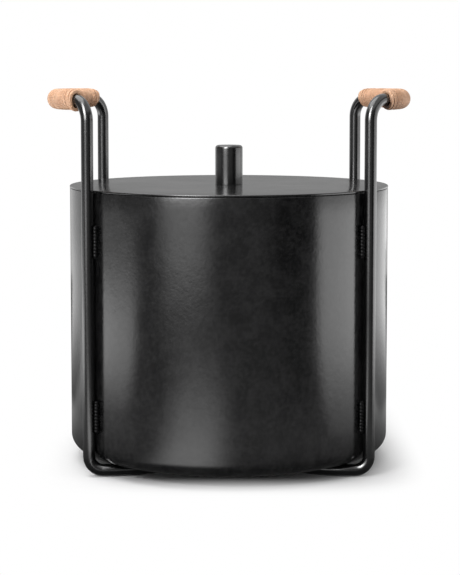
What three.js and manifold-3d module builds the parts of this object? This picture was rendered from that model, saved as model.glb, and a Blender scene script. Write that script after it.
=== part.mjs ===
// Log bucket: a lacquered sheet-steel bucket with a loose lid, held by two bent steel rods.
// Each rod is one loop: a leather-wound handle, two uprights welded to the wall, and a foot that
// runs round under the bucket.
// Millimetres, +Z up, +X to the right and -Y to the front. The origin is on the floor, on the
// bucket's axis.

import * as THREE from 'three';
import { mergeVertices } from 'three/addons/utils/BufferGeometryUtils.js';
import Module from 'manifold-3d';

const wasm = await Module();
wasm.setup();

const fullTurn = 2 * Math.PI;
const quarterTurn = Math.PI / 2;

// Driving dimensions, in millimetres

// What rests on or is welded to its neighbour stands this far off it
const seatGap = 0.3;

// Bucket, of pressed sheet steel
const wallRadius = 165;
const wallThickness = 2;
const bucketDepth = 270;
const cornerRadius = 14;

// Lid, a flat plate with a hoop below it that finds the mouth of the bucket
const lidThickness = 2;
const lidOverhang = 0.2;
const lidEdgeRadius = 0.9;
const hoopPlay = 1.8;
const hoopThickness = 1.5;
const hoopHeight = 10;

// Knob, screwed on from below
const knobDiameter = 28.5;
const knobHeight = 40.5;
const knobEdgeRadius = 3.2;
const knobFootChamfer = 0.5;
const screwDiameter = 6;
const screwReach = 16;
const screwPlay = 0.3;
const screwHeadDiameter = 10.5;
const screwHeadHeight = 3.3;
const socketWidth = 4;
const socketDepth = 2;
const washerDiameter = 18;
const washerThickness = 1.6;

// Rods: the uprights stand just clear of the wall and the lid, and the handles pass wide of the lid
const rodDiameter = 12;
const rodStandOff = 0.6;
const uprightAngle = THREE.MathUtils.degToRad(36);
const handleRise = 89;
const handleBendRadius = 21;
const handleShoulderRadius = 62;
const footBendRadius = 14;
const rodButtGap = 0.6;

// Grips: a liner sleeve on the rod, wound with one lace
const gripDiameter = 21;
const gripSetBack = 0.6;
const gripPassGap = 1.35;
const laceWidth = 5.9;
const laceThickness = 2.4;
const laceGap = 1.5;

// Weld beads between the uprights and the wall
const weldRadius = 2.6;
const weldValley = 2.1;
const weldLength = 33;
const weldRipple = 4.4;
const weldInset = 48;

// Counts
const wallSegments = 72;
const knobSegments = 32;
const screwSegments = 24;
const rodSides = 12;
const bendSteps = 6;
const footSteps = 20;
const cornerSteps = 5;
const edgeSteps = 3;
const laceStepsPerTurn = 12;
const laceSides = 6;
const weldSides = 6;
// The most that the handle turns from one section to the next
const handleStepAngle = THREE.MathUtils.degToRad(4.2);
// Points nearer than this are one point
const pointTolerance = 1e-6;

// Derived sizes and heights

const rodRadius = rodDiameter / 2;
// The rod's section has a flat below, so the foot's centre is this high over the floor
const footHeight = rodRadius * Math.cos(Math.PI / rodSides);
const bucketBottom = footHeight + rodRadius + seatGap;
const rimHeight = bucketBottom + bucketDepth;
const lidBottom = rimHeight + seatGap;
const lidTop = lidBottom + lidThickness;
const lidRadius = wallRadius + lidOverhang;
const handleHeight = lidTop + handleRise;
const gripRadius = gripDiameter / 2;
const uprightRadius = wallRadius + rodStandOff + rodRadius;
const handleRadius = lidRadius + gripPassGap + gripRadius;

// Materials

const lacquer = (name, colour, roughness) => new THREE.MeshStandardMaterial({
  name,
  color: colour,
  roughness,
  metalness: 0.4,
});
const shellBlack = lacquer('shell_black', 0x1d1d1f, 0.32);
const rodBlack = lacquer('rod_black', 0x191a1b, 0.28);
const weldBlack = lacquer('weld_black', 0x161617, 0.4);
const screwSteel = new THREE.MeshStandardMaterial({
  name: 'screw_steel',
  color: 0x9a9c9e,
  roughness: 0.35,
  metalness: 1,
});
const laceTan = new THREE.MeshStandardMaterial({ name: 'lace_tan', color: 0xd6a47f, roughness: 0.7 });
const linerTan = new THREE.MeshStandardMaterial({ name: 'liner_tan', color: 0xa8795a, roughness: 0.85 });

// Shared helpers

const log_bucket = new THREE.Group();

function addPiece(name, geometry, material) {
  const mesh = new THREE.Mesh(geometry, material);
  mesh.name = name;
  log_bucket.add(mesh);
  return mesh;
}

// Points round a stretch of a circle in a profile's plane
function arcPoints(centre, radius, fromAngle, toAngle, steps) {
  return Array.from({ length: steps + 1 }, (_, i) => {
    const angle = fromAngle + (toAngle - fromAngle) * i / steps;
    const spoke = new THREE.Vector2(Math.cos(angle), Math.sin(angle)).multiplyScalar(radius);
    return spoke.add(centre);
  });
}

// A profile of radius and height, revolved round the Z axis
function revolve(profile, segments) {
  return new THREE.LatheGeometry(profile, segments).rotateX(quarterTurn);
}

// A regular outline, with a flat facing each axis of the section
function roundOutline(radius, sides) {
  return Array.from({ length: sides }, (_, i) => {
    const angle = (i + 1 / 2) * fullTurn / sides;
    return new THREE.Vector2(Math.cos(angle), Math.sin(angle)).multiplyScalar(radius);
  });
}

// A path that is given by its stations: each has a point, a tangent and a normal, so that bends
// get more sections than straights and the section's flats keep their places
class StationPath extends THREE.Curve {
  constructor(stations) {
    super();
    this.stations = stations;
  }

  getSpacedPoints() {
    return this.stations.map((station) => station.point);
  }

  computeFrenetFrames() {
    return {
      tangents: this.stations.map((station) => station.tangent),
      normals: this.stations.map((station) => station.normal),
      binormals: this.stations.map((station) => station.tangent.clone().cross(station.normal)),
    };
  }
}

function sweep(section, stations) {
  return new THREE.ExtrudeGeometry(section, {
    steps: stations.length - 1,
    extrudePath: new StationPath(stations),
  });
}

// Stations round an arc, which leaves the end of its arm in the direction of its heading
function arcStations(centre, arm, heading, angle, steps) {
  const axis = arm.clone().cross(heading).normalize();
  return Array.from({ length: steps + 1 }, (_, i) => {
    const turn = angle * i / steps;
    const spoke = arm.clone().applyAxisAngle(axis, turn);
    return {
      point: centre.clone().add(spoke),
      tangent: heading.clone().applyAxisAngle(axis, turn),
      normal: spoke.clone().normalize(),
    };
  });
}

// The same stations in a mirror, so that a path runs on through them
function mirrorStations(stations, mirror) {
  return stations.map((station) => ({
    point: station.point.clone().multiply(mirror),
    tangent: station.tangent.clone().multiply(mirror),
    normal: station.normal.clone().multiply(mirror),
  }));
}

function reverseStations(stations) {
  return stations.slice().reverse().map((station) => ({
    ...station,
    tangent: station.tangent.clone().negate(),
  }));
}

// One run of stations from several. Each is turned by whole facets to meet the one before, and a
// station that repeats the last point is left out
function joinStations(runs, sides) {
  const facet = fullTurn / sides;
  const joined = [];
  for (const run of runs) {
    const last = joined.at(-1);
    const first = run[0];
    let turn = 0;
    if (last) {
      const across = first.normal.clone().cross(last.normal).dot(first.tangent);
      turn = Math.round(Math.atan2(across, first.normal.dot(last.normal)) / facet) * facet;
    }
    const repeats = last && last.point.distanceTo(first.point) < pointTolerance;
    for (const station of repeats ? run.slice(1) : run) {
      const normal = station.normal.clone().applyAxisAngle(station.tangent, turn);
      joined.push({ ...station, normal });
    }
  }
  return joined;
}

const flipX = new THREE.Vector3(-1, 1, 1);
const flipY = new THREE.Vector3(1, -1, 1);
const noFlip = new THREE.Vector3(1, 1, 1);
const flanks = [['left', flipX], ['right', noFlip]];

// Bucket: floor, pressed corner, wall and rounded rim in one sheet

function bucketShell() {
  const innerRadius = wallRadius - wallThickness;
  const cornerCentre = new THREE.Vector2(wallRadius - cornerRadius, bucketBottom + cornerRadius);
  const rimCentre = new THREE.Vector2(wallRadius - wallThickness / 2, rimHeight - wallThickness / 2);
  const innerCorner = Math.max(cornerRadius - wallThickness, 0);
  return revolve([
    new THREE.Vector2(0, bucketBottom),
    ...arcPoints(cornerCentre, cornerRadius, -quarterTurn, 0, cornerSteps),
    ...arcPoints(rimCentre, wallThickness / 2, 0, Math.PI, edgeSteps),
    ...arcPoints(cornerCentre, innerCorner, 0, -quarterTurn, cornerSteps),
    new THREE.Vector2(0, bucketBottom + wallThickness),
  ], wallSegments);
}

addPiece('bucket_shell', bucketShell(), shellBlack);

// Handle line: round the bucket's axis over the grip, then a tighter shoulder that leads to the
// bend over the upright

const uprightPlace = new THREE.Vector2(Math.cos(uprightAngle), -Math.sin(uprightAngle))
  .multiplyScalar(uprightRadius);

// The shoulder's centre and the upright and the axis make a triangle of known sides
const shoulderReach = Math.hypot(handleBendRadius, handleShoulderRadius);
const shoulderCentreRadius = handleRadius - handleShoulderRadius;
const shoulderCosine = (uprightRadius ** 2 + shoulderReach ** 2 - shoulderCentreRadius ** 2)
  / (2 * uprightRadius * shoulderReach);
const shoulderBearing = Math.PI - uprightAngle - Math.acos(shoulderCosine);
const shoulderCentre = new THREE.Vector2(Math.cos(shoulderBearing), Math.sin(shoulderBearing))
  .multiplyScalar(shoulderReach)
  .add(uprightPlace);
const gripHalfAngle = Math.atan2(-shoulderCentre.y, shoulderCentre.x);
const bendBearing = shoulderBearing - Math.atan2(handleShoulderRadius, handleBendRadius);
const shoulderEndAngle = quarterTurn - bendBearing;
const shoulderStart = handleRadius * gripHalfAngle;
const handleHalfLength = shoulderStart + handleShoulderRadius * (shoulderEndAngle - gripHalfAngle);

// The place on the right handle at a distance from its middle, positive to the front
function handleStation(distance) {
  const along = Math.abs(distance);
  const front = distance < 0 ? -1 : 1;
  const onShoulder = along > shoulderStart;
  const angle = onShoulder
    ? gripHalfAngle + (along - shoulderStart) / handleShoulderRadius
    : along / handleRadius;
  const radius = onShoulder ? handleShoulderRadius : handleRadius;
  const centre = onShoulder ? shoulderCentre : new THREE.Vector2();
  const outward = new THREE.Vector3(Math.cos(angle), -front * Math.sin(angle), 0);
  return {
    point: outward.clone().multiplyScalar(radius)
      .add(new THREE.Vector3(centre.x, front * centre.y, handleHeight)),
    tangent: new THREE.Vector3(-front * Math.sin(angle), -Math.cos(angle), 0),
    normal: outward,
  };
}

// Stations from one distance to another, closer together where the handle bends more
function handleStations(from, to) {
  const joints = [-shoulderStart, shoulderStart].filter((place) => place > from && place < to);
  const ends = [from, ...joints, to];
  const runs = ends.slice(1).map((end, i) => {
    const start = ends[i];
    const onShoulder = Math.abs(start + end) / 2 > shoulderStart;
    const radius = onShoulder ? handleShoulderRadius : handleRadius;
    const steps = Math.ceil((end - start) / (radius * handleStepAngle));
    return Array.from({ length: steps }, (_, k) => handleStation(start + (end - start) * k / steps));
  });
  return [...runs.flat(), handleStation(to)];
}

// Rod: from the middle of the handle, down the front upright, round the foot, up the rear upright
// and back, with its ends butting inside the grip

function rodStations() {
  const up = new THREE.Vector3(0, 0, 1);
  const down = up.clone().negate();
  const inward = new THREE.Vector3(-1, 0, 0);
  const shoulderEnd = handleStation(handleHalfLength);
  const handleBend = arcStations(
    shoulderEnd.point.clone().addScaledVector(down, handleBendRadius),
    up.clone().multiplyScalar(handleBendRadius),
    shoulderEnd.tangent,
    quarterTurn,
    bendSteps,
  );
  const footStartX = uprightPlace.x - footBendRadius;
  const footBend = arcStations(
    new THREE.Vector3(footStartX, uprightPlace.y, footHeight + footBendRadius),
    inward.clone().multiplyScalar(-footBendRadius),
    down,
    quarterTurn,
    bendSteps,
  );
  const foot = arcStations(
    new THREE.Vector3(footStartX, 0, footHeight),
    new THREE.Vector3(0, uprightPlace.y, 0),
    inward,
    Math.PI,
    footSteps,
  );
  const frontRuns = [handleStations(rodButtGap / 2, handleHalfLength), handleBend, footBend];
  const rearRuns = frontRuns.slice().reverse()
    .map((run) => reverseStations(mirrorStations(run, flipY)));
  return joinStations([...frontRuns, foot, ...rearRuns], rodSides);
}

for (const [side, mirror] of flanks) {
  const stations = joinStations([mirrorStations(rodStations(), mirror)], rodSides);
  addPiece(`${side}_frame_rod`, sweep(new THREE.Shape(roundOutline(rodRadius, rodSides)), stations), rodBlack);
}

// Grip liner: a sleeve on the rod, under the lace

const gripHalfLength = handleHalfLength - gripSetBack;
const facetShare = 1 / Math.cos(Math.PI / rodSides);
const linerBore = (rodRadius + seatGap) * facetShare;
const linerRadius = (gripRadius - laceThickness) * Math.cos(Math.PI / laceStepsPerTurn) - seatGap;

for (const [side, mirror] of flanks) {
  const section = new THREE.Shape(roundOutline(linerRadius, rodSides));
  section.holes.push(new THREE.Path(roundOutline(linerBore, rodSides)));
  const stations = mirrorStations(handleStations(-gripHalfLength, gripHalfLength), mirror);
  addPiece(`${side}_grip_liner`, sweep(section, stations), linerTan);
}

// Grip lace: one flat lace wound round the liner from end to end. Its section lies flat on the
// liner, and both ends run straight on for the lace's own thickness

const laceTravel = 2 * gripHalfLength - laceWidth;
const laceTurns = Math.floor(laceTravel / (laceWidth + laceGap));
const laceRadius = gripRadius - laceThickness / 2;

function laceStations() {
  const steps = laceTurns * laceStepsPerTurn;
  const place = (i) => {
    const spine = handleStation(-laceTravel / 2 + laceTravel * i / steps);
    const turn = fullTurn * i / laceStepsPerTurn;
    const outward = spine.normal.clone().applyAxisAngle(spine.tangent, turn);
    return { point: spine.point.clone().addScaledVector(outward, laceRadius), outward };
  };
  const stations = Array.from({ length: steps + 1 }, (_, i) => {
    const here = place(i);
    const tangent = place(i + 1 / 2).point.sub(place(i - 1 / 2).point).normalize();
    const lean = here.outward.dot(tangent);
    const normal = here.outward.clone().addScaledVector(tangent, -lean).normalize();
    return { point: here.point, tangent, normal };
  });
  const runOut = (station, distance) => ({
    ...station,
    point: station.point.clone().addScaledVector(station.tangent, distance),
  });
  return [
    runOut(stations[0], -laceThickness),
    ...stations,
    runOut(stations.at(-1), laceThickness),
  ];
}

// Thickness lies along the normal and width along the binormal, with rounded edges
function laceOutline() {
  return Array.from({ length: laceSides }, (_, i) => {
    const angle = i * fullTurn / laceSides;
    const flat = Math.sin(angle) / Math.sin(fullTurn / laceSides);
    return new THREE.Vector2(flat * laceThickness / 2, Math.cos(angle) * laceWidth / 2);
  });
}

// The least distance between the edges of the lace on two turns that lie side by side
function leastTurnGap(stations) {
  const outline = laceOutline();
  const ring = (station) => {
    const across = station.tangent.clone().cross(station.normal);
    return outline.map((corner) => station.point.clone()
      .addScaledVector(station.normal, corner.x)
      .addScaledVector(across, corner.y));
  };
  const rings = stations.map(ring);
  let least = Infinity;
  rings.forEach((corners, i) => {
    const nextTurn = rings.slice(i + laceStepsPerTurn - 1, i + laceStepsPerTurn + 2).flat();
    for (const corner of corners) {
      for (const other of nextTurn) {
        least = Math.min(least, corner.distanceTo(other));
      }
    }
  });
  return least;
}

for (const [side, mirror] of flanks) {
  const stations = mirrorStations(laceStations(), mirror);
  addPiece(`${side}_grip_lace`, sweep(new THREE.Shape(laceOutline()), stations), laceTan);
  console.log(`${side} lace: ${laceTurns} turns, least gap ${leastTurnGap(stations).toFixed(2)} mm`);
}

// Weld beads: rippled runs in the crevice between upright and wall, two on each upright, on the
// side that faces the middle of the front or the back

function weldBead() {
  const ripples = Math.max(Math.round(weldLength / weldRipple), 1);
  const profile = [new THREE.Vector2(0, 0)];
  for (let i = 0; i <= 2 * ripples; i += 1) {
    const radius = i % 2 ? weldRadius : weldValley;
    profile.push(new THREE.Vector2(radius, weldLength * i / (2 * ripples)));
  }
  profile.push(new THREE.Vector2(0, weldLength));
  return revolve(profile, weldSides);
}

const weldFromAxis = wallRadius + seatGap + weldRadius;
const weldFromRod = rodRadius + seatGap + weldRadius;
const weldCosine = (uprightRadius ** 2 + weldFromAxis ** 2 - weldFromRod ** 2)
  / (2 * uprightRadius * weldFromAxis);
const weldAngle = uprightAngle + Math.acos(weldCosine);
const weldHeights = {
  lower: bucketBottom + weldInset - weldLength / 2,
  upper: rimHeight - weldInset - weldLength / 2,
};

for (const [end, sign] of [['front', -1], ['rear', 1]]) {
  for (const [side, mirror] of flanks) {
    for (const [level, height] of Object.entries(weldHeights)) {
      const bead = addPiece(`weld_${end}_${side}_${level}`, weldBead(), weldBlack);
      bead.position.set(
        mirror.x * weldFromAxis * Math.cos(weldAngle),
        sign * weldFromAxis * Math.sin(weldAngle),
        height,
      );
    }
  }
}

// Lid: plate, hoop, knob, screw and washer, in one group that lifts off together

const lid = new THREE.Group();
lid.position.z = lidBottom;
log_bucket.add(lid);

function addLidPiece(name, geometry, material) {
  const mesh = addPiece(name, geometry, material);
  lid.add(mesh);
  return mesh;
}

const screwHole = screwDiameter / 2 + screwPlay;

function lidPlate() {
  const edgeCentre = new THREE.Vector2(lidRadius - lidEdgeRadius, lidThickness - lidEdgeRadius);
  const profile = [
    new THREE.Vector2(screwHole, 0),
    new THREE.Vector2(lidRadius, 0),
    ...arcPoints(edgeCentre, lidEdgeRadius, 0, quarterTurn, edgeSteps),
    new THREE.Vector2(screwHole, lidThickness),
  ];
  return revolve([...profile, profile[0].clone()], wallSegments);
}

function lidHoop() {
  const outer = wallRadius - wallThickness - hoopPlay;
  const top = -seatGap;
  const profile = [
    new THREE.Vector2(outer - hoopThickness, top - hoopHeight),
    new THREE.Vector2(outer, top - hoopHeight),
    new THREE.Vector2(outer, top),
    new THREE.Vector2(outer - hoopThickness, top),
  ];
  return revolve([...profile, profile[0].clone()], wallSegments);
}

function lidKnob() {
  const radius = knobDiameter / 2;
  const foot = lidThickness + seatGap;
  const top = foot + knobHeight;
  const boreTop = foot + screwReach + screwPlay;
  return revolve([
    new THREE.Vector2(0, boreTop),
    new THREE.Vector2(screwHole, boreTop),
    new THREE.Vector2(screwHole, foot),
    new THREE.Vector2(radius - knobFootChamfer, foot),
    new THREE.Vector2(radius, foot + knobFootChamfer),
    ...arcPoints(
      new THREE.Vector2(radius - knobEdgeRadius, top - knobEdgeRadius),
      knobEdgeRadius,
      0,
      quarterTurn,
      cornerSteps,
    ),
    new THREE.Vector2(0, top),
  ], knobSegments);
}

function knobWasher() {
  const top = -seatGap;
  const profile = [
    new THREE.Vector2(screwHole, top - washerThickness),
    new THREE.Vector2(washerDiameter / 2, top - washerThickness),
    new THREE.Vector2(washerDiameter / 2, top),
    new THREE.Vector2(screwHole, top),
  ];
  return revolve([...profile, profile[0].clone()], screwSegments);
}

function solidOf(geometry) {
  const bare = geometry.clone();
  bare.deleteAttribute('normal');
  bare.deleteAttribute('uv');
  const merged = mergeVertices(bare);
  return new wasm.Manifold(new wasm.Mesh({
    numProp: 3,
    vertProperties: merged.attributes.position.array,
    triVerts: new Uint32Array(merged.index.array),
  }));
}

function geometryOf(solid) {
  const mesh = solid.getMesh();
  const geometry = new THREE.BufferGeometry();
  geometry.setAttribute('position', new THREE.BufferAttribute(mesh.vertProperties, 3));
  geometry.setIndex(new THREE.BufferAttribute(mesh.triVerts, 1));
  geometry.computeVertexNormals();
  return geometry;
}

// A domed head with a hexagon socket, and a plain shank
function knobScrew() {
  const radius = screwHeadDiameter / 2;
  const seat = -seatGap - washerThickness - seatGap;
  const face = seat - screwHeadHeight;
  const tip = lidThickness + seatGap + screwReach;
  const turned = revolve([
    new THREE.Vector2(0, face),
    new THREE.Vector2(socketWidth, face),
    new THREE.Vector2(radius, seat - screwHeadHeight / 2),
    new THREE.Vector2(radius, seat),
    new THREE.Vector2(screwDiameter / 2, seat),
    new THREE.Vector2(screwDiameter / 2, tip),
    new THREE.Vector2(0, tip),
  ], screwSegments);
  const hexagonSides = 6;
  const acrossCorners = socketWidth / Math.cos(Math.PI / hexagonSides);
  const socket = new THREE.CylinderGeometry(
    acrossCorners / 2,
    acrossCorners / 2,
    2 * socketDepth,
    hexagonSides,
  ).rotateX(quarterTurn).translate(0, 0, face);
  return geometryOf(solidOf(turned).subtract(solidOf(socket)));
}

addLidPiece('lid_plate', lidPlate(), shellBlack);
addLidPiece('lid_locating_hoop', lidHoop(), shellBlack);
addLidPiece('lid_knob', lidKnob(), rodBlack);
addLidPiece('knob_washer', knobWasher(), screwSteel);
addLidPiece('knob_screw', knobScrew(), screwSteel);

export default log_bucket;
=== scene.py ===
"""Looks of a log bucket: black lacquered bucket, lid, knob and rods, and leather-wound grips.

Metres, +Z up, +X to the right and -Y to the front. The origin is on the floor, on the bucket's
axis.
"""

import math

import bpy
import numpy as np
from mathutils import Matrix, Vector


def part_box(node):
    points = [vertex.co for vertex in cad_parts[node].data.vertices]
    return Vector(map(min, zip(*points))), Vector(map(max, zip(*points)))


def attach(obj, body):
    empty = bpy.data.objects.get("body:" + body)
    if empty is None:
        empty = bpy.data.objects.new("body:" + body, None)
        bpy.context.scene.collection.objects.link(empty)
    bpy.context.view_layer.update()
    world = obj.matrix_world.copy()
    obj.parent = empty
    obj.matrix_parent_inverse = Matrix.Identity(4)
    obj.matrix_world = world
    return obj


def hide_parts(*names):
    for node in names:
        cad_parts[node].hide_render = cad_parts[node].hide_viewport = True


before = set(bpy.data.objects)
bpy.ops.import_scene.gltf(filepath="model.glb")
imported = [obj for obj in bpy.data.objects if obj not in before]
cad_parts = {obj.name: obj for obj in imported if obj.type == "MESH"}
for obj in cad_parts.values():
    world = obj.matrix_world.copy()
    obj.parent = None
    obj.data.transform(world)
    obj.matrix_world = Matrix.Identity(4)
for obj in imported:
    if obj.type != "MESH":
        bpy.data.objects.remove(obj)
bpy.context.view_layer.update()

MM = 0.001
FULL_TURN = 2 * math.pi
QUARTER_TURN = math.pi / 2

# Sizes of the solids that the pieces below stand for

WALL_RADIUS = 165 * MM
WALL_THICKNESS = 2 * MM
CORNER_RADIUS = 14 * MM
LID_EDGE_RADIUS = 0.9 * MM
LID_FOOT_RADIUS = 0.3 * MM
LID_HOLE_RADIUS = 3.3 * MM
HOOP_THICKNESS = 1.5 * MM
HOOP_EDGE_RADIUS = 0.4 * MM
KNOB_RADIUS = 14.25 * MM
KNOB_EDGE_RADIUS = 3.2 * MM
KNOB_FOOT_CHAMFER = 0.2 * MM
KNOB_SEAT_GAP = 0.02 * MM
KNOB_BORE_DEPTH = 16.3 * MM
ROD_RADIUS = 6 * MM
ROD_SOLID_SIDES = 12
ROD_STAND_OFF = 0.6 * MM
ROD_BUTT_GAP = 0.6 * MM
UPRIGHT_ANGLE = math.radians(36)
HANDLE_BEND_RADIUS = 21 * MM
HANDLE_SHOULDER_RADIUS = 62 * MM
FOOT_BEND_RADIUS = 14 * MM
GRIP_RADIUS = 10.5 * MM
GRIP_PASS_GAP = 1.35 * MM
WELD_RADIUS = 2.6 * MM
LID_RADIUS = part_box("lid_plate")[1].x
HANDLE_RADIUS = LID_RADIUS + GRIP_PASS_GAP + GRIP_RADIUS
# The solid rod has a flat on top, so its box ends below the round rod's top
HANDLE_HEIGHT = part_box("left_frame_rod")[1].z - ROD_RADIUS * math.cos(math.pi / ROD_SOLID_SIDES)
UPRIGHT_RADIUS = WALL_RADIUS + ROD_STAND_OFF + ROD_RADIUS

# Handle line: an arc round the bucket's axis over the grip, then a tighter shoulder

upright_x = UPRIGHT_RADIUS * math.cos(UPRIGHT_ANGLE)
upright_y = -UPRIGHT_RADIUS * math.sin(UPRIGHT_ANGLE)
shoulder_reach = math.hypot(HANDLE_BEND_RADIUS, HANDLE_SHOULDER_RADIUS)
shoulder_centre_radius = HANDLE_RADIUS - HANDLE_SHOULDER_RADIUS
shoulder_cosine = (
    UPRIGHT_RADIUS**2 + shoulder_reach**2 - shoulder_centre_radius**2
) / (2 * UPRIGHT_RADIUS * shoulder_reach)
shoulder_bearing = math.pi - UPRIGHT_ANGLE - math.acos(shoulder_cosine)
shoulder_x = upright_x + shoulder_reach * math.cos(shoulder_bearing)
shoulder_y = upright_y + shoulder_reach * math.sin(shoulder_bearing)
grip_half_angle = math.atan2(-shoulder_y, shoulder_x)
bend_bearing = shoulder_bearing - math.atan2(HANDLE_SHOULDER_RADIUS, HANDLE_BEND_RADIUS)
shoulder_end_angle = QUARTER_TURN - bend_bearing
shoulder_start = HANDLE_RADIUS * grip_half_angle
handle_half_length = (
    shoulder_start + HANDLE_SHOULDER_RADIUS * (shoulder_end_angle - grip_half_angle)
)


def handle_line(distances):
    """Points, tangents and outward normals of the right handle, at distances from its middle to
    the front. Past the handle's ends the line follows the bends over the uprights."""
    along = np.minimum(np.abs(distances), handle_half_length)
    bend = (np.abs(distances) - along)[:, None] / HANDLE_BEND_RADIUS
    front = np.where(distances < 0, -1.0, 1.0)
    shoulder = along > shoulder_start
    past = (along - shoulder_start) / HANDLE_SHOULDER_RADIUS
    angle = np.where(shoulder, grip_half_angle + past, along / HANDLE_RADIUS)
    radius = np.where(shoulder, HANDLE_SHOULDER_RADIUS, HANDLE_RADIUS)
    flat = np.zeros_like(angle)
    outward = np.stack([np.cos(angle), -front * np.sin(angle), flat], axis=1)
    tangents = np.stack([-front * np.sin(angle), -np.cos(angle), flat], axis=1)
    centres = np.stack(
        [
            np.where(shoulder, shoulder_x, 0.0),
            np.where(shoulder, front * shoulder_y, 0.0),
            flat + HANDLE_HEIGHT,
        ],
        axis=1,
    )
    points = centres + outward * radius[:, None]
    up = np.array([[0.0, 0.0, 1.0]])
    ahead = tangents * front[:, None]
    points = points + HANDLE_BEND_RADIUS * (ahead * np.sin(bend) - up * (1 - np.cos(bend)))
    tangents = (ahead * np.cos(bend) - up * np.sin(bend)) * front[:, None]
    return points, tangents, outward


HANDLE_POINTS = 48
HANDLE_BEND_STEPS = 20
UPRIGHT_POINTS = 12
FOOT_BEND_STEPS = 18
FOOT_STEPS = 36


def arc(centre, arm, heading, steps):
    """Points round a quarter turn that leaves the end of its arm along its heading."""
    turns = np.linspace(0, QUARTER_TURN, steps + 1)[:, None]
    reach = np.linalg.norm(arm)
    return centre + np.cos(turns) * arm + np.sin(turns) * reach * heading


def rod_line():
    """Centre line of the right rod, from the middle of its handle, round its foot and back."""
    down = np.array([0.0, 0.0, -1.0])
    inward = np.array([-1.0, 0.0, 0.0])
    handle, headings, _ = handle_line(
        np.linspace(ROD_BUTT_GAP / 2, handle_half_length, HANDLE_POINTS)
    )
    handle_bend = arc(
        handle[-1] + down * HANDLE_BEND_RADIUS,
        -down * HANDLE_BEND_RADIUS,
        headings[-1],
        HANDLE_BEND_STEPS,
    )
    foot_x = upright_x - FOOT_BEND_RADIUS
    foot_bend = arc(
        np.array([foot_x, upright_y, ROD_RADIUS + FOOT_BEND_RADIUS]),
        -inward * FOOT_BEND_RADIUS,
        down,
        FOOT_BEND_STEPS,
    )
    upright = np.linspace(handle_bend[-1], foot_bend[0], UPRIGHT_POINTS)[1:-1]
    foot = arc(
        np.array([foot_x, 0.0, ROD_RADIUS]), np.array([0.0, upright_y, 0.0]), inward, FOOT_STEPS
    )
    front = np.concatenate([handle, handle_bend[1:], upright, foot_bend, foot[1:]])
    rear = front[::-1][1:] * np.array([1.0, -1.0, 1.0])
    return np.concatenate([front, rear])


# Mesh helpers


def add_mesh(name, vertices, faces, material, body, slot, stands_for):
    mesh = bpy.data.meshes.new(name)
    mesh.from_pydata([tuple(v) for v in vertices], [], faces)
    mesh.materials.append(material)
    mesh.update()
    mesh.shade_smooth()
    piece = bpy.data.objects.new(name, mesh)
    bpy.context.scene.collection.objects.link(piece)
    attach(piece, body)
    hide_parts(*stands_for)
    return piece


def add_marks(piece, marks):
    """A number of each name at each vertex, for the material to read."""
    for key, values in marks.items():
        layer = piece.data.attributes.new(key, "FLOAT", "POINT")
        layer.data.foreach_set("value", values.astype(np.float32))


def smooth(shares):
    """From nothing at 0 to one at 1, level at both ends."""
    clipped = np.clip(shares, 0, 1)
    return clipped * clipped * (3 - 2 * clipped)


def round_angles(count):
    """Angles of so many points evenly round a full turn."""
    return np.arange(count) * FULL_TURN / count


def grid_faces(rows, columns, wrap_rows=False):
    """Faces of a grid of points whose columns close on themselves."""
    faces = []
    for i in range(rows if wrap_rows else rows - 1):
        here = i * columns
        there = (i + 1) % rows * columns
        for j in range(columns):
            k = (j + 1) % columns
            faces.append((here + j, here + k, there + k, there + j))
    return faces


def capped_faces(rows, columns):
    """The same for a run of rings, with a face over each end."""
    faces = grid_faces(rows, columns)
    faces.append(tuple(reversed(range(columns))))
    faces.append(tuple((rows - 1) * columns + j for j in range(columns)))
    return faces


def revolve(profile, segments):
    """Vertices and faces of a profile of radius and height, turned round the Z axis. A profile
    that starts and ends on the axis makes a closed piece, and any other is joined end to end."""
    closed = profile[0][0] == 0
    rings = profile[1:-1] if closed else profile
    angles = round_angles(segments)
    vertices = [(r * math.cos(a), r * math.sin(a), z) for r, z in rings for a in angles]
    faces = grid_faces(len(rings), segments, wrap_rows=not closed)
    if closed:
        first = len(vertices)
        vertices += [(0, 0, profile[0][1]), (0, 0, profile[-1][1])]
        top_ring = (len(rings) - 1) * segments
        for j in range(segments):
            k = (j + 1) % segments
            faces.append((first, k, j))
            faces.append((first + 1, top_ring + j, top_ring + k))
    return vertices, faces


def arc_profile(centre_r, centre_z, radius, from_degrees, to_degrees, steps):
    """Points of radius and height on an arc, whose angles are counted from level outwards."""
    angles = np.radians(np.linspace(from_degrees, to_degrees, steps + 1))
    return [(centre_r + radius * math.cos(a), centre_z + radius * math.sin(a)) for a in angles]


def upright_profile(radius, from_z, to_z, points):
    """Points of a plain wall, without its two ends, which the arcs beside it hold."""
    return [(radius, z) for z in np.linspace(from_z, to_z, points)[1:-1]]


def line_frames(points):
    """Tangents and normals along a line of points, with no twist of the normals. The line starts
    level."""
    steps = np.gradient(points, axis=0)
    tangents = steps / np.linalg.norm(steps, axis=1)[:, None]
    normal = np.cross(tangents[0], (0.0, 0.0, 1.0))
    normals = []
    for tangent in tangents:
        normal = normal - tangent * np.dot(normal, tangent)
        normal = normal / np.linalg.norm(normal)
        normals.append(normal)
    return tangents, np.array(normals)


def sweep(points, tangents, normals, sections):
    """Vertices and faces of closed sections on a line of points, with both ends closed. Each
    section's points are lengths along the normal and across it."""
    across = np.cross(tangents, normals)
    rings = (
        points[:, None, :]
        + normals[:, None, :] * sections[:, :, 0:1]
        + across[:, None, :] * sections[:, :, 1:2]
    )
    return rings.reshape(-1, 3), capped_faces(*rings.shape[:2])


def mirrored(vertices, faces):
    """The same mesh in the mirror of the plane X = 0, still facing outwards."""
    flipped = np.array(vertices) * np.array([-1.0, 1.0, 1.0])
    return flipped, [tuple(reversed(face)) for face in faces]


# Materials


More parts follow.
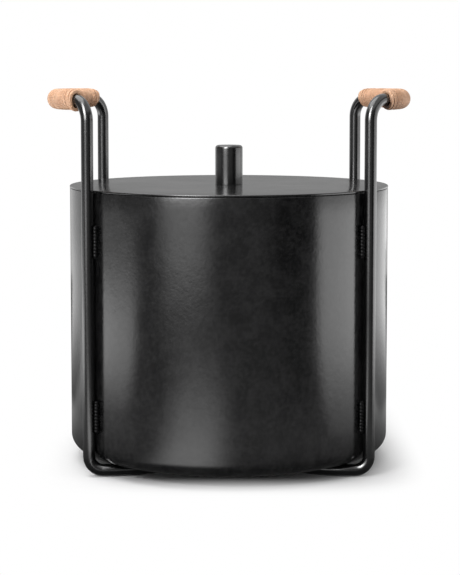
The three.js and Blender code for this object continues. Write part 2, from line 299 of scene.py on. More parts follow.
class Nodes:
    """A small helper for a material's node tree."""

    def __init__(self, tree):
        self.tree = tree

    def add(self, kind, **settings):
        node = self.tree.nodes.new(kind)
        for key, value in settings.items():
            setattr(node, key, value)
        return node

    def link(self, source, target):
        self.tree.links.new(source, target)

    def attribute(self, name):
        return self.add("ShaderNodeAttribute", attribute_name=name).outputs["Fac"]

    def noise(self, vector, scale, detail, roughness):
        node = self.add("ShaderNodeTexNoise")
        node.inputs["Scale"].default_value = scale
        node.inputs["Detail"].default_value = detail
        node.inputs["Roughness"].default_value = roughness
        self.link(vector, node.inputs["Vector"])
        return node.outputs["Fac"]

    def ramp(self, value, low, high, to_low, to_high):
        node = self.add("ShaderNodeMapRange", interpolation_type="SMOOTHSTEP")
        node.inputs["From Min"].default_value = low
        node.inputs["From Max"].default_value = high
        node.inputs["To Min"].default_value = to_low
        node.inputs["To Max"].default_value = to_high
        self.link(value, node.inputs["Value"])
        return node.outputs["Result"]

    def mix(self, factor, first, second):
        node = self.add("ShaderNodeMix", data_type="RGBA")
        self.link(factor, node.inputs[0])
        for socket, colour in ((node.inputs[6], first), (node.inputs[7], second)):
            if isinstance(colour, tuple):
                socket.default_value = (*colour, 1.0)
            else:
                self.link(colour, socket)
        return node.outputs[2]

    def mix_shaders(self, factor, first, second, output):
        node = self.add("ShaderNodeMixShader")
        self.link(factor, node.inputs["Fac"])
        self.link(first.outputs[0], node.inputs[1])
        self.link(second.outputs[0], node.inputs[2])
        self.link(node.outputs[0], output.inputs["Surface"])

    def compute(self, operation, first, second):
        node = self.add("ShaderNodeMath", operation=operation)
        for socket, value in zip(node.inputs, (first, second)):
            if isinstance(value, (int, float)):
                socket.default_value = value
            else:
                self.link(value, socket)
        return node.outputs[0]

    def bump(self, height, strength, distance, normal=None):
        node = self.add("ShaderNodeBump")
        node.inputs["Strength"].default_value = strength
        node.inputs["Distance"].default_value = distance
        self.link(height, node.inputs["Height"])
        if normal is not None:
            self.link(normal, node.inputs["Normal"])
        return node.outputs["Normal"]


def new_material(name):
    material = bpy.data.materials.new(name)
    material.use_nodes = True
    nodes = Nodes(material.node_tree)
    shader = material.node_tree.nodes["Principled BSDF"]
    where = nodes.add("ShaderNodeTexCoord").outputs["Object"]
    return material, nodes, shader, where


def lacquer(name, dark, pale, roughness, grain_scale, grain_height, shine=0.5):
    """Black lacquer: faint smudges in its gloss, a fine skin of grain and a slow waviness.
    Roughness is that of the clean and of the smudged gloss."""
    material, nodes, shader, where = new_material(name)
    shader.inputs["Specular IOR Level"].default_value = shine
    smudge = nodes.noise(where, scale=14, detail=4, roughness=0.6)
    wide_cloud = nodes.noise(where, scale=55, detail=3, roughness=0.6)
    fine_cloud = nodes.noise(where, scale=260, detail=2, roughness=0.6)
    cloud = nodes.ramp(nodes.compute("ADD", wide_cloud, fine_cloud), 0.75, 1.3, 0, 1)
    nodes.link(nodes.mix(cloud, dark, pale), shader.inputs["Base Color"])
    nodes.link(nodes.ramp(smudge, 0.3, 0.7, *roughness), shader.inputs["Roughness"])
    wave_height = nodes.noise(where, scale=9, detail=1, roughness=0.4)
    wave = nodes.bump(wave_height, strength=0.15, distance=0.0012)
    dapple_height = nodes.noise(where, scale=150, detail=2, roughness=0.5)
    dapple = nodes.bump(dapple_height, strength=0.5, distance=0.00013, normal=wave)
    skin_height = nodes.noise(where, scale=grain_scale, detail=3, roughness=0.55)
    skin = nodes.bump(skin_height, strength=0.5, distance=grain_height, normal=dapple)
    nodes.link(skin, shader.inputs["Normal"])
    return material


shell_lacquer = lacquer(
    "shell_lacquer",
    dark=(0.0028, 0.0028, 0.003),
    pale=(0.0125, 0.0125, 0.0127),
    roughness=(0.15, 0.19),
    grain_scale=420,
    grain_height=0.00012,
)
rod_lacquer = lacquer(
    "rod_lacquer",
    dark=(0.0022, 0.0023, 0.0024),
    pale=(0.0036, 0.0036, 0.0038),
    roughness=(0.15, 0.22),
    grain_scale=520,
    grain_height=0.0001,
    shine=0.8,
)
weld_lacquer = lacquer(
    "weld_lacquer",
    dark=(0.0022, 0.0022, 0.0024),
    pale=(0.004, 0.004, 0.0042),
    roughness=(0.3, 0.45),
    grain_scale=900,
    grain_height=0.0003,
    shine=0.08,
)

BLOTCH_ROUGHNESS = 0.12


def leather(name, pale, deep, shade_colour, roughness):
    """Natural leather: cloudy tan, fine pores and creases, and painted shade in the grooves and
    below, from the lace's marks.
    """
    material, nodes, shader, where = new_material(name)
    blotch_noise = nodes.noise(where, scale=60, detail=4, roughness=0.6)
    blotch = nodes.ramp(blotch_noise, 0.3, 0.72, 0, 1)
    fleck_noise = nodes.noise(where, scale=900, detail=3, roughness=0.6)
    fleck = nodes.ramp(fleck_noise, 0.52, 0.72, 0, 0.25)
    flecked = nodes.mix(fleck, nodes.mix(blotch, pale, deep), deep)
    # The tone mark holds the leather's random tone and painted shade below
    toned_and_shaded = nodes.mix(nodes.ramp(nodes.attribute("tone"), 0.2, 1.4, 0, 0.85), flecked, deep)
    # Painted shade: the shade mark darkens the grooves and the underside towards the shade colour
    colour = nodes.mix(nodes.attribute("turned_in"), toned_and_shaded, shade_colour)
    nodes.link(colour, shader.inputs["Base Color"])
    rough = nodes.ramp(blotch, 0, 1, roughness, roughness + BLOTCH_ROUGHNESS)
    nodes.link(rough, shader.inputs["Roughness"])
    grain_height = nodes.noise(where, scale=1500, detail=4, roughness=0.65)
    grain = nodes.bump(grain_height, strength=0.5, distance=0.0001)
    crease_height = nodes.noise(where, scale=260, detail=2, roughness=0.5)
    crease = nodes.bump(crease_height, strength=0.5, distance=0.00018, normal=grain)
    nodes.link(crease, shader.inputs["Normal"])
    return material


lace_leather = leather(
    "lace_leather",
    pale=(0.72, 0.43, 0.26),
    deep=(0.52, 0.27, 0.145),
    shade_colour=(0.085, 0.032, 0.011),
    roughness=0.55,
)
liner_leather = leather(
    "liner_leather",
    pale=(0.3, 0.16, 0.09),
    deep=(0.2, 0.1, 0.055),
    shade_colour=(0.1, 0.05, 0.025),
    roughness=0.8,
)


def zinc_steel():
    material, nodes, shader, where = new_material("zinc_steel")
    shader.inputs["Metallic"].default_value = 1.0
    stain_and_shade = nodes.ramp(nodes.noise(where, scale=300, detail=4, roughness=0.6), 0.35, 0.7, 0, 1)
    colour = nodes.mix(stain_and_shade, (0.5, 0.51, 0.52), (0.34, 0.345, 0.35))
    nodes.link(colour, shader.inputs["Base Color"])
    nodes.link(nodes.ramp(stain_and_shade, 0, 1, 0.28, 0.42), shader.inputs["Roughness"])
    grain_height = nodes.noise(where, scale=1800, detail=2, roughness=0.5)
    grain = nodes.bump(grain_height, strength=0.4, distance=0.00005)
    nodes.link(grain, shader.inputs["Normal"])
    return material


steel = zinc_steel()

# Bucket shell

WIDE_SEGMENTS = 256
WALL_POINTS = 14
WALL_CORNER_STEPS = 14
INNER_CORNER_STEPS = 12
RIM_STEPS = 10
# Rings on the flats keep the shading of their rounded edges from spreading over them
FLOOR_RING_RADIUS = 20 * MM
FLOOR_EDGE_SHARE = 0.97

shell_low, shell_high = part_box("bucket_shell")
inner_radius = WALL_RADIUS - WALL_THICKNESS
corner_r = WALL_RADIUS - CORNER_RADIUS
corner_z = shell_low.z + CORNER_RADIUS
rim_r = WALL_RADIUS - WALL_THICKNESS / 2
rim_z = shell_high.z - WALL_THICKNESS / 2
inside_z = shell_low.z + WALL_THICKNESS
floor_edge_r = corner_r * FLOOR_EDGE_SHARE
inner_corner_radius = CORNER_RADIUS - WALL_THICKNESS
shell_profile = (
    [(r, shell_low.z) for r in (0, FLOOR_RING_RADIUS, floor_edge_r)]
    + arc_profile(corner_r, corner_z, CORNER_RADIUS, -90, 0, WALL_CORNER_STEPS)
    + upright_profile(WALL_RADIUS, corner_z, rim_z, WALL_POINTS)
    + arc_profile(rim_r, rim_z, WALL_THICKNESS / 2, 0, 180, RIM_STEPS)
    + upright_profile(inner_radius, rim_z, corner_z, WALL_POINTS)
    + arc_profile(corner_r, corner_z, inner_corner_radius, 0, -90, INNER_CORNER_STEPS)
    + [(r, inside_z) for r in (floor_edge_r, FLOOR_RING_RADIUS, 0)]
)
shell_shape = revolve(shell_profile, WIDE_SEGMENTS)
add_mesh("shell_skin", *shell_shape, shell_lacquer, "bucket", "shell_black", ["bucket_shell"])

# Lid plate and the hoop below it

LID_FOOT_STEPS = 3
LID_EDGE_STEPS = 8
HOLE_RING_WIDTH = 1 * MM
LID_RING_RADII = (40 * MM, 120 * MM)
HOOP_SEGMENTS = 192
HOOP_EDGE_STEPS = 3

lid_low, lid_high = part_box("lid_plate")
lid_flat_radii = (LID_HOLE_RADIUS, LID_HOLE_RADIUS + HOLE_RING_WIDTH, *LID_RING_RADII)
lid_foot_r = lid_high.x - LID_FOOT_RADIUS
lid_foot_z = lid_low.z + LID_FOOT_RADIUS
lid_edge_r = lid_high.x - LID_EDGE_RADIUS
lid_edge_z = lid_high.z - LID_EDGE_RADIUS
lid_profile = (
    [(r, lid_low.z) for r in lid_flat_radii]
    + arc_profile(lid_foot_r, lid_foot_z, LID_FOOT_RADIUS, -90, 0, LID_FOOT_STEPS)
    + arc_profile(lid_edge_r, lid_edge_z, LID_EDGE_RADIUS, 0, 90, LID_EDGE_STEPS)
    + [(r, lid_high.z) for r in reversed(lid_flat_radii)]
)
lid_shape = revolve(lid_profile, WIDE_SEGMENTS)
add_mesh("lid_skin", *lid_shape, shell_lacquer, "lid", "shell_black", ["lid_plate"])

hoop_low, hoop_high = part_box("lid_locating_hoop")
hoop_outer_r = hoop_high.x - HOOP_EDGE_RADIUS
hoop_inner_r = hoop_high.x - HOOP_THICKNESS + HOOP_EDGE_RADIUS
hoop_foot_z = hoop_low.z + HOOP_EDGE_RADIUS
hoop_top_z = hoop_high.z - HOOP_EDGE_RADIUS
hoop_corners = (
    (hoop_outer_r, hoop_foot_z, -90),
    (hoop_outer_r, hoop_top_z, 0),
    (hoop_inner_r, hoop_top_z, 90),
    (hoop_inner_r, hoop_foot_z, 180),
)
hoop_profile = []
for r, z, turn in hoop_corners:
    hoop_profile += arc_profile(r, z, HOOP_EDGE_RADIUS, turn, turn + 90, HOOP_EDGE_STEPS)
hoop_shape = revolve(hoop_profile, HOOP_SEGMENTS)
add_mesh("hoop_skin", *hoop_shape, shell_lacquer, "lid", "shell_black", ["lid_locating_hoop"])

# Knob, with the bore for its screw

KNOB_SEGMENTS = 96
KNOB_FOOT_STEPS = 4
KNOB_WALL_POINTS = 6
KNOB_EDGE_STEPS = 12
KNOB_RING_RADIUS = 4 * MM

knob_low, knob_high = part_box("lid_knob")
knob_seat = lid_high.z + KNOB_SEAT_GAP
knob_bore_z = knob_low.z + KNOB_BORE_DEPTH
knob_foot_r = KNOB_RADIUS - KNOB_FOOT_CHAMFER
knob_foot_z = knob_seat + KNOB_FOOT_CHAMFER
knob_edge_r = KNOB_RADIUS - KNOB_EDGE_RADIUS
knob_edge_z = knob_high.z - KNOB_EDGE_RADIUS
knob_profile = (
    [(0, knob_bore_z), (LID_HOLE_RADIUS, knob_bore_z)]
    + [(LID_HOLE_RADIUS, knob_seat), (knob_foot_r, knob_seat)]
    + arc_profile(knob_foot_r, knob_foot_z, KNOB_FOOT_CHAMFER, -60, 0, KNOB_FOOT_STEPS)
    + upright_profile(KNOB_RADIUS, knob_low.z, knob_edge_z, KNOB_WALL_POINTS)
    + arc_profile(knob_edge_r, knob_edge_z, KNOB_EDGE_RADIUS, 0, 90, KNOB_EDGE_STEPS)
    + [(KNOB_RING_RADIUS, knob_high.z), (0, knob_high.z)]
)
knob_shape = revolve(knob_profile, KNOB_SEGMENTS)
add_mesh("knob_skin", *knob_shape, rod_lacquer, "lid", "rod_black", ["lid_knob"])

# Frame rods

ROD_SIDES = 32

rod_points = rod_line()
rod_angles = round_angles(ROD_SIDES)
rod_section = np.stack([np.cos(rod_angles), np.sin(rod_angles)], axis=1) * ROD_RADIUS
rod_sections = np.repeat(rod_section[None], len(rod_points), axis=0)
right_rod = sweep(rod_points, *line_frames(rod_points), rod_sections)
left_rod = mirrored(*right_rod)
add_mesh("right_rod_skin", *right_rod, rod_lacquer, "bucket", "rod_black", ["right_frame_rod"])
add_mesh("left_rod_skin", *left_rod, rod_lacquer, "bucket", "rod_black", ["left_frame_rod"])

# Grips: a liner sleeve that ends inside the lace, and one leather lace wound from end to end

LACE_PITCH = 2.6 * MM
LACE_THICKNESS = 2.4 * MM
LACE_STEPS = 28
LACE_SIDES = 14
LINER_RADIUS = GRIP_RADIUS - LACE_THICKNESS + 0.2 * MM
LINER_BORE = ROD_RADIUS + 0.15 * MM
LINER_RECESS = 7 * MM
LINER_POINTS = 121
LINER_SIDES = 40
# How far the turns stray along the grip and out of it, and how deep they lie on the whole
LACE_STRAY = 0.00022
LACE_RISE = 0.00012
LACE_INSET = 0.00014
# Width of a turn in pitches, how much it varies, and how much wider the turns of the rim are
LACE_WIDTH = 1.06
LACE_WIDTH_RANGE = 0.07
RIM_EXTRA_WIDTH = 0.2
# The section is nearly an ellipse, and squarer in the rim
SECTION_POWER = 0.95
RIM_POWER_LOSS = 0.4
# The lace swells over its last turns to a rim that fills the space down to the rod
RIM_TURNS = 1.9
RIM_FULL_TURNS = 0.95
RIM_PLAY = 0.1 * MM
RIM_DROP = 0.6 * MM
# The lace starts and ends at this angle round the rod, inwards and below, where it shows least,
# and narrows there to this share over this part of a turn
LACE_END_ANGLE = math.radians(235)
TUCK_SHARE = 0.35
TUCK_TURNS = 0.3
# The first and last turns stray less
STEADY_TURNS = 1.5
# The turns at the front lean and hang loose below over this many turns
LEANING_TURNS = 12
HANGING_TURNS = 3.2
# For each lace: how far it runs on over the bend at its rear and at its front end, or stops short
# of it, how far its front turns run ahead on the outer side and below, how far they hang, and the
# shares of its length between which painted shade darkens its grooves and its underside
GRIPS = {
    "right": {
        "seed": 11,
        "run_on": (9 * MM, -3.5 * MM),
        "lean": (3.8 * MM, 0.0),
        "hang": 0.3 * MM,
        "shade_shares": (0.3, 1.2),
    },
    "left": {
        "seed": 47,
        "run_on": (9 * MM, 7 * MM),
        "lean": (0.6 * MM, 2.4 * MM),
        "hang": 2.2 * MM,
        "shade_shares": (-0.2, 0.62),
    },
}
# Painted shade of the grooves: its mean, range and least, and what the shaded stretch adds all
# round and below. The stretch fades out over this share of the lace, and the rim loses most of the
# shade
GROOVE_SHADE = 0.28
GROOVE_SHADE_RANGE = 0.2
GROOVE_SHADE_LEAST = 0.1
STRETCH_SHADE = 0.12
STRETCH_SHADE_BELOW = 0.88
STRETCH_FADE = 0.2
RIM_SHADE_LOSS = 0.8
UNDERSIDE_SHADE = 0.5
# Starts and slopes of where painted shade shows below on the stretch, where the painted shade of
# its underside shows, and where the grooves show painted shade. The first two go by how far the
# outer side of the turn faces upwards, and the last by how near a point is to the turn's crest
UNDER_LINE = (0.4, -1.0)
UNDERSIDE_SHADE_LINE = (-0.1, -1.1)
GROOVE_LINE = (1.9, -2.2)
# Tone of the leather: its mean and range, and the painted shade that deepens it below on the
# stretch
TONE = 0.4
TONE_RANGE = 0.42
UNDERSIDE_SHADE_TONE = 0.3


def slow_wander(positions, seed, waves, shortest, longest):
    """A smooth random line between about -1 and 1 along positions, the same each run."""
    draw = np.random.default_rng(seed)
    total = np.zeros_like(positions)
    for _ in range(waves):
        length = shortest * (longest / shortest) ** draw.random()
        total += np.sin(positions * FULL_TURN / length + draw.random() * FULL_TURN)
    return total / math.sqrt(waves)


def liner_tube(rear_end, front_end):
    """A sleeve on the rod that ends a little inside the lace."""
    points, tangents, normals = handle_line(
        np.linspace(rear_end + LINER_RECESS, front_end - LINER_RECESS, LINER_POINTS)
    )
    across = np.cross(tangents, normals)
    angles = round_angles(LINER_SIDES)
    ring = (
        np.cos(angles)[None, :, None] * normals[:, None]
        + np.sin(angles)[None, :, None] * across[:, None]
    )
    outside = points[:, None] + ring * LINER_RADIUS
    bore = points[:, None] + ring * LINER_BORE
    grid = np.concatenate([outside, bore[::-1]])
    return grid.reshape(-1, 3), grid_faces(len(grid), LINER_SIDES, wrap_rows=True)


def squared(values, power):
    """Cosines or sines of a round section, made squarer by a power below one."""
    return np.sign(values) * np.abs(values) ** power


def lace_winding(rear_end, front_end, seed, lean, hang, shade_shares):
    """A lace in close turns, each a little wider, prouder or further along than the last."""
    travel = front_end - rear_end - LACE_PITCH
    turns = round(travel / LACE_PITCH)
    turn = np.linspace(0, turns, turns * LACE_STEPS + 1)
    to_go = turns - turn
    from_end = np.minimum(turn, to_go)
    swing = turn * FULL_TURN + LACE_END_ANGLE
    leaning = smooth(1 - to_go / LEANING_TURNS)
    hanging = smooth(1 - to_go / HANGING_TURNS)
    rim = smooth((RIM_TURNS - from_end) / (RIM_TURNS - RIM_FULL_TURNS))

    stray = slow_wander(turn, seed, waves=9, shortest=1.3, longest=7)
    stray = stray * np.clip(from_end / STEADY_TURNS, 0, 1)
    distance = rear_end + LACE_PITCH / 2 + travel * turn / turns + stray * LACE_STRAY
    distance += leaning * (lean[0] * np.cos(swing) - lean[1] * np.sin(swing))
    points, along, outward = handle_line(distance)
    side = np.cross(along, outward)
    radial = np.cos(swing)[:, None] * outward + np.sin(swing)[:, None] * side
    rise = slow_wander(turn, seed + 1, waves=12, shortest=0.8, longest=5)
    rise = rise * LACE_RISE * (1 - rim)
    outer_radius = GRIP_RADIUS - LACE_INSET + rise - RIM_DROP * rim
    inner_radius = outer_radius - LACE_THICKNESS
    inner_radius += (ROD_RADIUS + RIM_PLAY - inner_radius) * rim
    thickness = outer_radius - inner_radius
    centre_radius = (outer_radius + inner_radius) / 2
    centre_radius += hang * hanging * np.clip(-radial[:, 2], 0, 1) ** 3
    line = points + radial * centre_radius[:, None]
    steps = np.gradient(line, axis=0)
    tangents = steps / np.linalg.norm(steps, axis=1)[:, None]
    normals = radial - tangents * np.sum(radial * tangents, axis=1)[:, None]
    normals /= np.linalg.norm(normals, axis=1)[:, None]

    angles = round_angles(LACE_SIDES)
    power = (SECTION_POWER - RIM_POWER_LOSS * rim)[:, None]
    height = squared(np.sin(angles), power)
    width = squared(np.cos(angles), power)
    breadth = slow_wander(turn, seed + 2, waves=8, shortest=1.1, longest=5)
    breadth = LACE_WIDTH + LACE_WIDTH_RANGE * breadth + RIM_EXTRA_WIDTH * rim
    tuck = TUCK_SHARE + (1 - TUCK_SHARE) * np.clip(from_end / TUCK_TURNS, 0, 1)
    sections = np.stack(
        [
            height * (thickness * tuck / 2)[:, None],
            width * (LACE_PITCH / 2 * breadth * tuck)[:, None],
        ],
        axis=2,
    )
    marks = lace_marks(turn, height, radial[:, 2], rim, seed, shade_shares)
    return *sweep(line, tangents, normals, sections), marks


def lace_marks(turn, height, upward, rim, seed, shade_shares):
    """Painted shade between the turns, darker below on a stretch of the grip and faint on the
    rims.
    """
    share = turn / turn[-1]
    # Painted shade, not wear: over this stretch the grooves and the underside are darker
    shaded_stretch = smooth((share - shade_shares[0]) / STRETCH_FADE) * smooth((shade_shares[1] - share) / STRETCH_FADE)
    under = smooth(UNDER_LINE[0] + UNDER_LINE[1] * upward)
    shaded_under = shaded_stretch * under
    # Painted shade in the grooves between the turns, wandering slowly along the lace
    shade = slow_wander(turn, seed + 4, waves=6, shortest=5, longest=16)
    shade = np.clip(GROOVE_SHADE + GROOVE_SHADE_RANGE * shade, GROOVE_SHADE_LEAST, 1)
    shade += shaded_stretch * (STRETCH_SHADE + STRETCH_SHADE_BELOW * under)
    shade = np.clip(shade, 0, 1) * (1 - RIM_SHADE_LOSS * rim * (1 - shaded_under))
    # Painted shade: the underside of the stretch is darker
    stain_and_shade = UNDERSIDE_SHADE * shaded_stretch * smooth(UNDERSIDE_SHADE_LINE[0] + UNDERSIDE_SHADE_LINE[1] * upward)
    # Painted shade: the grooves between the turns are darker than the crests
    crest = np.clip(height, 0, 1)
    groove = np.clip(GROOVE_LINE[0] + GROOVE_LINE[1] * crest, 0, 1)
    turned_in = np.clip(groove * shade[:, None] + stain_and_shade[:, None], 0, 1)
    tone = slow_wander(turn, seed + 3, waves=10, shortest=0.7, longest=6)
    # Painted shade: the tone deepens below on the stretch; the rest of it varies at random
    tone = TONE + TONE_RANGE * tone + UNDERSIDE_SHADE_TONE * shaded_under
    return {"turned_in": turned_in.ravel(), "tone": np.repeat(tone, LACE_SIDES)}


for side, facts in GRIPS.items():
    rear_run_on, front_run_on = facts["run_on"]
    ends = (-handle_half_length - rear_run_on, handle_half_length + front_run_on)
    liner = liner_tube(*ends)
    *lace, marks = lace_winding(
        *ends, facts["seed"], facts["lean"], facts["hang"], facts["shade_shares"]
    )
    if side == "left":
        liner = mirrored(*liner)
        lace = mirrored(*lace)
    liner_node = f"{side}_grip_liner"
    lace_node = f"{side}_grip_lace"
    add_mesh(f"{side}_liner_skin", *liner, liner_leather, "bucket", "liner_tan", [liner_node])
    skin = add_mesh(f"{side}_lace_skin", *lace, lace_leather, "bucket", "lace_tan", [lace_node])
    add_marks(skin, marks)

# Weld beads

WELD_ROWS = 120
WELD_COLUMNS = 20
RIPPLE_PITCH = 3.3 * MM
# How far each ripple bows up in front, and how uneven that is
RIPPLE_BOW = 0.0012
RIPPLE_LIFT = 0.3
RIPPLE_UNEVEN = 0.08
# Radius in the grooves, and how much the ripples add, as shares of the bead's radius
GROOVE_RADIUS_SHARE = 0.66
RIPPLE_SHARE = 0.3
RIPPLE_POWER = 0.7
END_SHARE = 0.05
FIRST_WELD_SEED = 5


def weld_bead(seed, length):
    """A run of overlapping ripples with domed ends, standing on the origin."""
    phase = np.random.default_rng(seed).random()
    vertices = []
    for z in np.linspace(0, length, WELD_ROWS):
        end = min(z, length - z) / WELD_RADIUS
        dome = max(math.sqrt(1 - max(1 - end, 0) ** 2), END_SHARE)
        for a in round_angles(WELD_COLUMNS):
            lift = RIPPLE_LIFT * math.cos(a) + RIPPLE_UNEVEN * math.sin(3 * a)
            ripple = ((z + RIPPLE_BOW * lift) / RIPPLE_PITCH + phase) % 1
            swell = GROOVE_RADIUS_SHARE + RIPPLE_SHARE * math.sin(math.pi * ripple**RIPPLE_POWER)
            radius = WELD_RADIUS * dome * swell
            vertices.append((radius * math.cos(a), radius * math.sin(a), z))
    return np.array(vertices), capped_faces(WELD_ROWS, WELD_COLUMNS)


weld_nodes = [
    f"weld_{end}_{side}_{level}"
    for end in ("front", "rear")
    for side in ("left", "right")
    for level in ("lower", "upper")
]
for seed, node in enumerate(weld_nodes, FIRST_WELD_SEED):
    low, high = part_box(node)
    bead, faces = weld_bead(seed, high.z - low.z)
    centre = (low + high) / 2
    bead += np.array([centre.x, centre.y, low.z])
    add_mesh(f"{node}_skin", bead, faces, weld_lacquer, "bucket", "weld_black", [node])

# Screw and washer under the lid

for node in ("knob_screw", "knob_washer"):
    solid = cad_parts[node]
    solid.data.materials.clear()
    solid.data.materials.append(steel)

# Stage: a pale floor that stays white to the lens and keeps the object's shadow

FLOOR_REACH = 3.0
FLOOR_COLOUR = (0.95, 0.95, 0.95, 1)
FLOOR_ROUGHNESS = 0.9
# The shadow keeps to a rounded square round this centre, of these half sides
SHADOW_CENTRE = (0.002, 0.08)
SHADOW_HALF_SIDES = (0.165, 0.218)
SHADOW_POWER = 5.6
# Shares of the half sides at which the shadow starts to fade and is gone
SHADOW_FADE = (0.848, 1.22)


def light_path_seen(nodes):
    """One where a ray comes from the lens, a glossy surface or through glass."""
    path = nodes.add("ShaderNodeLightPath")
    direct = nodes.compute(
        "MAXIMUM", path.outputs["Is Camera Ray"], path.outputs["Is Glossy Ray"]
    )
    return nodes.compute("MAXIMUM", direct, path.outputs["Is Transmission Ray"])


def floor_material():
    material, nodes, shader, where = new_material("stage_floor")
    shader.inputs["Base Color"].default_value = FLOOR_COLOUR
    shader.inputs["Roughness"].default_value = FLOOR_ROUGHNESS
    shader.inputs["Specular IOR Level"].default_value = 0.0
    white = nodes.add("ShaderNodeEmission")
    place = nodes.add("ShaderNodeSeparateXYZ")
    nodes.link(where, place.inputs[0])
    powers = []
    for i in range(2):
        offset = nodes.compute("SUBTRACT", place.outputs[i], SHADOW_CENTRE[i])
        off_centre = nodes.compute("ABSOLUTE", offset, 0)
        share = nodes.compute("DIVIDE", off_centre, SHADOW_HALF_SIDES[i])
        powers.append(nodes.compute("POWER", share, SHADOW_POWER))
    reach = nodes.compute("POWER", nodes.compute("ADD", *powers), 1 / SHADOW_POWER)
    away = nodes.ramp(reach, *SHADOW_FADE, 0, 1)
    whiteness = nodes.compute("MULTIPLY", away, light_path_seen(nodes))
    output = material.node_tree.nodes["Material Output"]
    nodes.mix_shaders(whiteness, shader, white, output)
    return material


def add_floor():
    mesh = bpy.data.meshes.new("stage_floor")
    r = FLOOR_REACH
    mesh.from_pydata([(-r, -r, 0), (r, -r, 0), (r, r, 0), (-r, r, 0)], [], [(0, 1, 2, 3)])
    mesh.materials.append(floor_material())
    floor = bpy.data.objects.new("stage_floor", mesh)
    bpy.context.scene.collection.objects.link(floor)


add_floor()

# A world that is white to the lens and in reflections, and grey as a light

WORLD_GREY = (0.52, 0.52, 0.52)


def set_world():
    world = bpy.data.worlds.new("studio")
    world.use_nodes = True
    bpy.context.scene.world = world
    nodes = Nodes(world.node_tree)
    background = world.node_tree.nodes["Background"]
    seen = light_path_seen(nodes)
    nodes.link(nodes.mix(seen, WORLD_GREY, (1.0, 1.0, 1.0)), background.inputs["Color"])


set_world()


def add_lamp(name, place, aim, side, watts):
    """A square area lamp."""
    data = bpy.data.lights.new(name, "AREA")
    data.shape = "RECTANGLE"
    data.size = side
    data.size_y = side
    data.energy = watts
    lamp = bpy.data.objects.new(name, data)
    bpy.context.scene.collection.objects.link(lamp)
    lamp.location = place
    direction = np.array(place) - np.array(aim)
    yaw = math.atan2(direction[0], -direction[1])
    drop = math.atan2(direction[2], math.hypot(direction[0], direction[1]))
    lamp.rotation_euler = (QUARTER_TURN - drop, 0, yaw)


add_lamp("top_box", place=(-0.5, 0.1, 1.9), aim=(0, 0, 0.1), side=1.6, watts=25)
add_lamp("key_box", place=(-0.95, -1.45, 1.15), aim=(0, 0, 0.2), side=0.35, watts=9)

# Cards that only glossy surfaces see: dark flags that keep the lacquer black, and soft boxes that
# draw its highlights. Each runs from one radius and height to another, over a stretch of azimuth
# that is counted from the front towards the right


def card_material():
    material = bpy.data.materials.new("stage_card")
    material.use_nodes = True
    nodes = Nodes(material.node_tree)
    output = material.node_tree.nodes["Material Output"]
    material.node_tree.nodes.remove(material.node_tree.nodes["Principled BSDF"])
    glow = nodes.add("ShaderNodeEmission")
    clear = nodes.add("ShaderNodeBsdfTransparent")
    nodes.link(nodes.attribute("glow"), glow.inputs["Strength"])
    nodes.mix_shaders(nodes.attribute("cover"), clear, glow, output)
    return material


CARD_COLUMNS = 49
CARD_ROWS = 25


def soft_edges(shares, low_soft, high_soft):
    """One inside, falling smoothly to nothing at each end over the given share of the length."""
    low = smooth(shares / low_soft) if low_soft else np.ones_like(shares)
    high = smooth((1 - shares) / high_soft) if high_soft else np.ones_like(shares)
    return np.minimum(low, high)


def add_card(name, material, start, end, azimuths, glows, softness):
    """Softness is the share that fades at the sides, at the start and at the end."""
    side_soft, start_soft, end_soft = softness
    across = np.linspace(0, 1, CARD_COLUMNS)
    up = np.linspace(0, 1, CARD_ROWS)
    angles = np.radians(azimuths[0] + (azimuths[1] - azimuths[0]) * across)
    radii = start[0] + (end[0] - start[0]) * up
    heights = start[1] + (end[1] - start[1]) * up
    vertices = [
        (r * math.sin(a), -r * math.cos(a), z) for r, z in zip(radii, heights) for a in angles
    ]
    faces = []
    for i in range(CARD_ROWS - 1):
        for j in range(CARD_COLUMNS - 1):
            here = i * CARD_COLUMNS + j
            faces.append((here, here + 1, here + CARD_COLUMNS + 1, here + CARD_COLUMNS))
    mesh = bpy.data.meshes.new(name)
    mesh.from_pydata(vertices, [], faces)
    mesh.materials.append(material)
    card = bpy.data.objects.new(name, mesh)
    cover = np.outer(
        soft_edges(up, start_soft, end_soft), soft_edges(across, side_soft, side_soft)
    )
    glow = np.outer(glows[0] + (glows[1] - glows[0]) * smooth(up), np.ones(CARD_COLUMNS))
    add_marks(card, {"cover": cover.ravel(), "glow": glow.ravel()})
    bpy.context.scene.collection.objects.link(card)
    for ray in ("camera", "diffuse", "transmission", "volume_scatter", "shadow"):
        setattr(card, f"visible_{ray}", False)


ALL_ROUND = (-180, 180)
DARK_SIDE = (18, 72)
LEFT_BOX = (-55, -6)
SIDE_FLOOR = (-124, -60)
RIGHT_BOX = (57, 116)
BACK_BOX = (110, 160)
BACK_FLOOR = (110, 152)
REAR_FLOOR = (-154, -122)
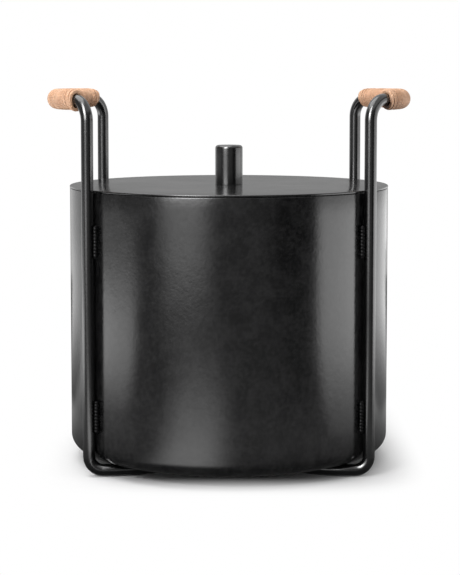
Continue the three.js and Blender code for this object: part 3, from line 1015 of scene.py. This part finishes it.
# Start and end as radius and height, azimuths, glow at start and end, softness
CARDS = {
    "stage_front_flag": ((2.4, 0.0), (2.4, 2.2), (-128, 118), (0.3, 0.22), (0.05, 0, 0.2)),
    "stage_dark_flag": ((2.3, 0.0), (2.3, 1.2), DARK_SIDE, (0.03, 0.03), (0.45, 0, 0.2)),
    "stage_back_flag": ((1.6, 0.0), (1.6, 0.95), (155, 205), (0.38, 0.38), (0.1, 0, 0.2)),
    "stage_contact_floor": ((0.1, 0.002), (0.18, 0.002), ALL_ROUND, (0.005, 0.08), (0, 0.05, 0)),
    "stage_near_floor": ((0.18, 0.002), (0.34, 0.002), ALL_ROUND, (0.13, 0.42), (0, 0, 0)),
    "stage_mid_floor": ((0.34, 0.002), (0.85, 0.002), ALL_ROUND, (0.42, 0.24), (0, 0, 0.4)),
    "stage_front_floor": ((0.5, 0.003), (2.4, 0.003), (-126, 118), (0.28, 0.28), (0.05, 0.1, 0)),
    "stage_dark_floor": ((0.35, 0.0035), (2.3, 0.0035), DARK_SIDE, (0.2, 0.03), (0.45, 0.15, 0)),
    "stage_left_low": ((2.1, 0.0), (2.1, 0.33), LEFT_BOX, (2.9, 1.7), (0.4, 0, 0)),
    "stage_left_mid": ((2.1, 0.33), (2.1, 0.6), LEFT_BOX, (1.7, 11.0), (0.4, 0, 0)),
    "stage_left_top": ((2.1, 0.6), (1.7, 1.5), (-53, -5), (11.0, 22.0), (0.4, 0, 0.1)),
    "stage_left_high": ((1.7, 1.5), (0.9, 2.3), (-50, -8), (20.0, 12.0), (0.4, 0, 0.3)),
    "stage_left_near": ((0.183, 0.004), (1.0, 0.004), (-44, 6), (2.9, 0.5), (0.42, 0.06, 0)),
    "stage_left_far": ((1.0, 0.004), (2.1, 0.004), (-53, -3), (0.5, 1.5), (0.42, 0, 0)),
    "stage_side_wall": ((2.2, 0.0), (2.2, 0.35), (-124, -68), (0.9, 0.2), (0.15, 0, 0.3)),
    "stage_side_near": ((0.35, 0.005), (0.95, 0.005), SIDE_FLOOR, (0.5, 3.4), (0.15, 0.1, 0)),
    "stage_side_far": ((0.95, 0.005), (2.2, 0.005), SIDE_FLOOR, (3.4, 0.9), (0.15, 0, 0)),
    "stage_right_box": ((1.15, 0.0), (1.15, 0.16), RIGHT_BOX, (3.5, 3.5), (0.14, 0, 0)),
    "stage_right_mid": ((1.15, 0.16), (1.15, 0.34), RIGHT_BOX, (3.5, 1.6), (0.14, 0, 0)),
    "stage_right_top": ((1.15, 0.34), (1.15, 0.8), RIGHT_BOX, (1.6, 1.6), (0.14, 0, 0.15)),
    "stage_right_floor": ((0.3, 0.004), (1.15, 0.004), RIGHT_BOX, (0.8, 3.5), (0.14, 0.1, 0)),
    "stage_back_box": ((2.2, 0.0), (2.2, 0.35), BACK_BOX, (1.9, 1.0), (0.1, 0, 0)),
    "stage_back_top": ((2.2, 0.35), (2.2, 1.2), BACK_BOX, (1.0, 1.0), (0.1, 0, 0.2)),
    "stage_back_floor": ((0.3, 0.004), (1.35, 0.004), BACK_FLOOR, (0.2, 1.9), (0.1, 0.1, 0)),
    "stage_back_far": ((1.35, 0.004), (2.2, 0.004), BACK_FLOOR, (1.9, 1.9), (0.1, 0, 0)),
    "stage_rear_floor": ((0.3, 0.004), (1.35, 0.004), REAR_FLOOR, (0.1, 1.3), (0.2, 0.1, 0)),
    "stage_rear_far": ((1.35, 0.004), (2.2, 0.004), REAR_FLOOR, (1.3, 1.3), (0.2, 0, 0)),
    "stage_behind_floor": ((0.3, 0.003), (1.6, 0.003), (142, 218), (0.04, 0.12), (0.15, 0.1, 0)),
}
card_look = card_material()
for card_name, card_facts in CARDS.items():
    add_card(card_name, card_look, *card_facts)

# Camera

FOCAL_PIXELS = 1617.2
LONG_SIDE_PIXELS = 575
SENSOR_WIDTH = 36
CAMERA_SHIFT = -0.139
CAMERA_PLACE = (0.0011, -1.6832, 0.3923)
CAMERA_TILT = math.radians(90 - 4.5)

camera_data = bpy.data.cameras.new("camera")
camera_data.sensor_width = SENSOR_WIDTH
camera_data.lens = FOCAL_PIXELS * SENSOR_WIDTH / LONG_SIDE_PIXELS
camera_data.shift_y = CAMERA_SHIFT
camera = bpy.data.objects.new("camera", camera_data)
camera.location = CAMERA_PLACE
camera.rotation_euler = (CAMERA_TILT, 0, 0)
bpy.context.scene.collection.objects.link(camera)
bpy.context.scene.camera = camera
bpy.context.scene.view_settings.view_transform = "Standard"
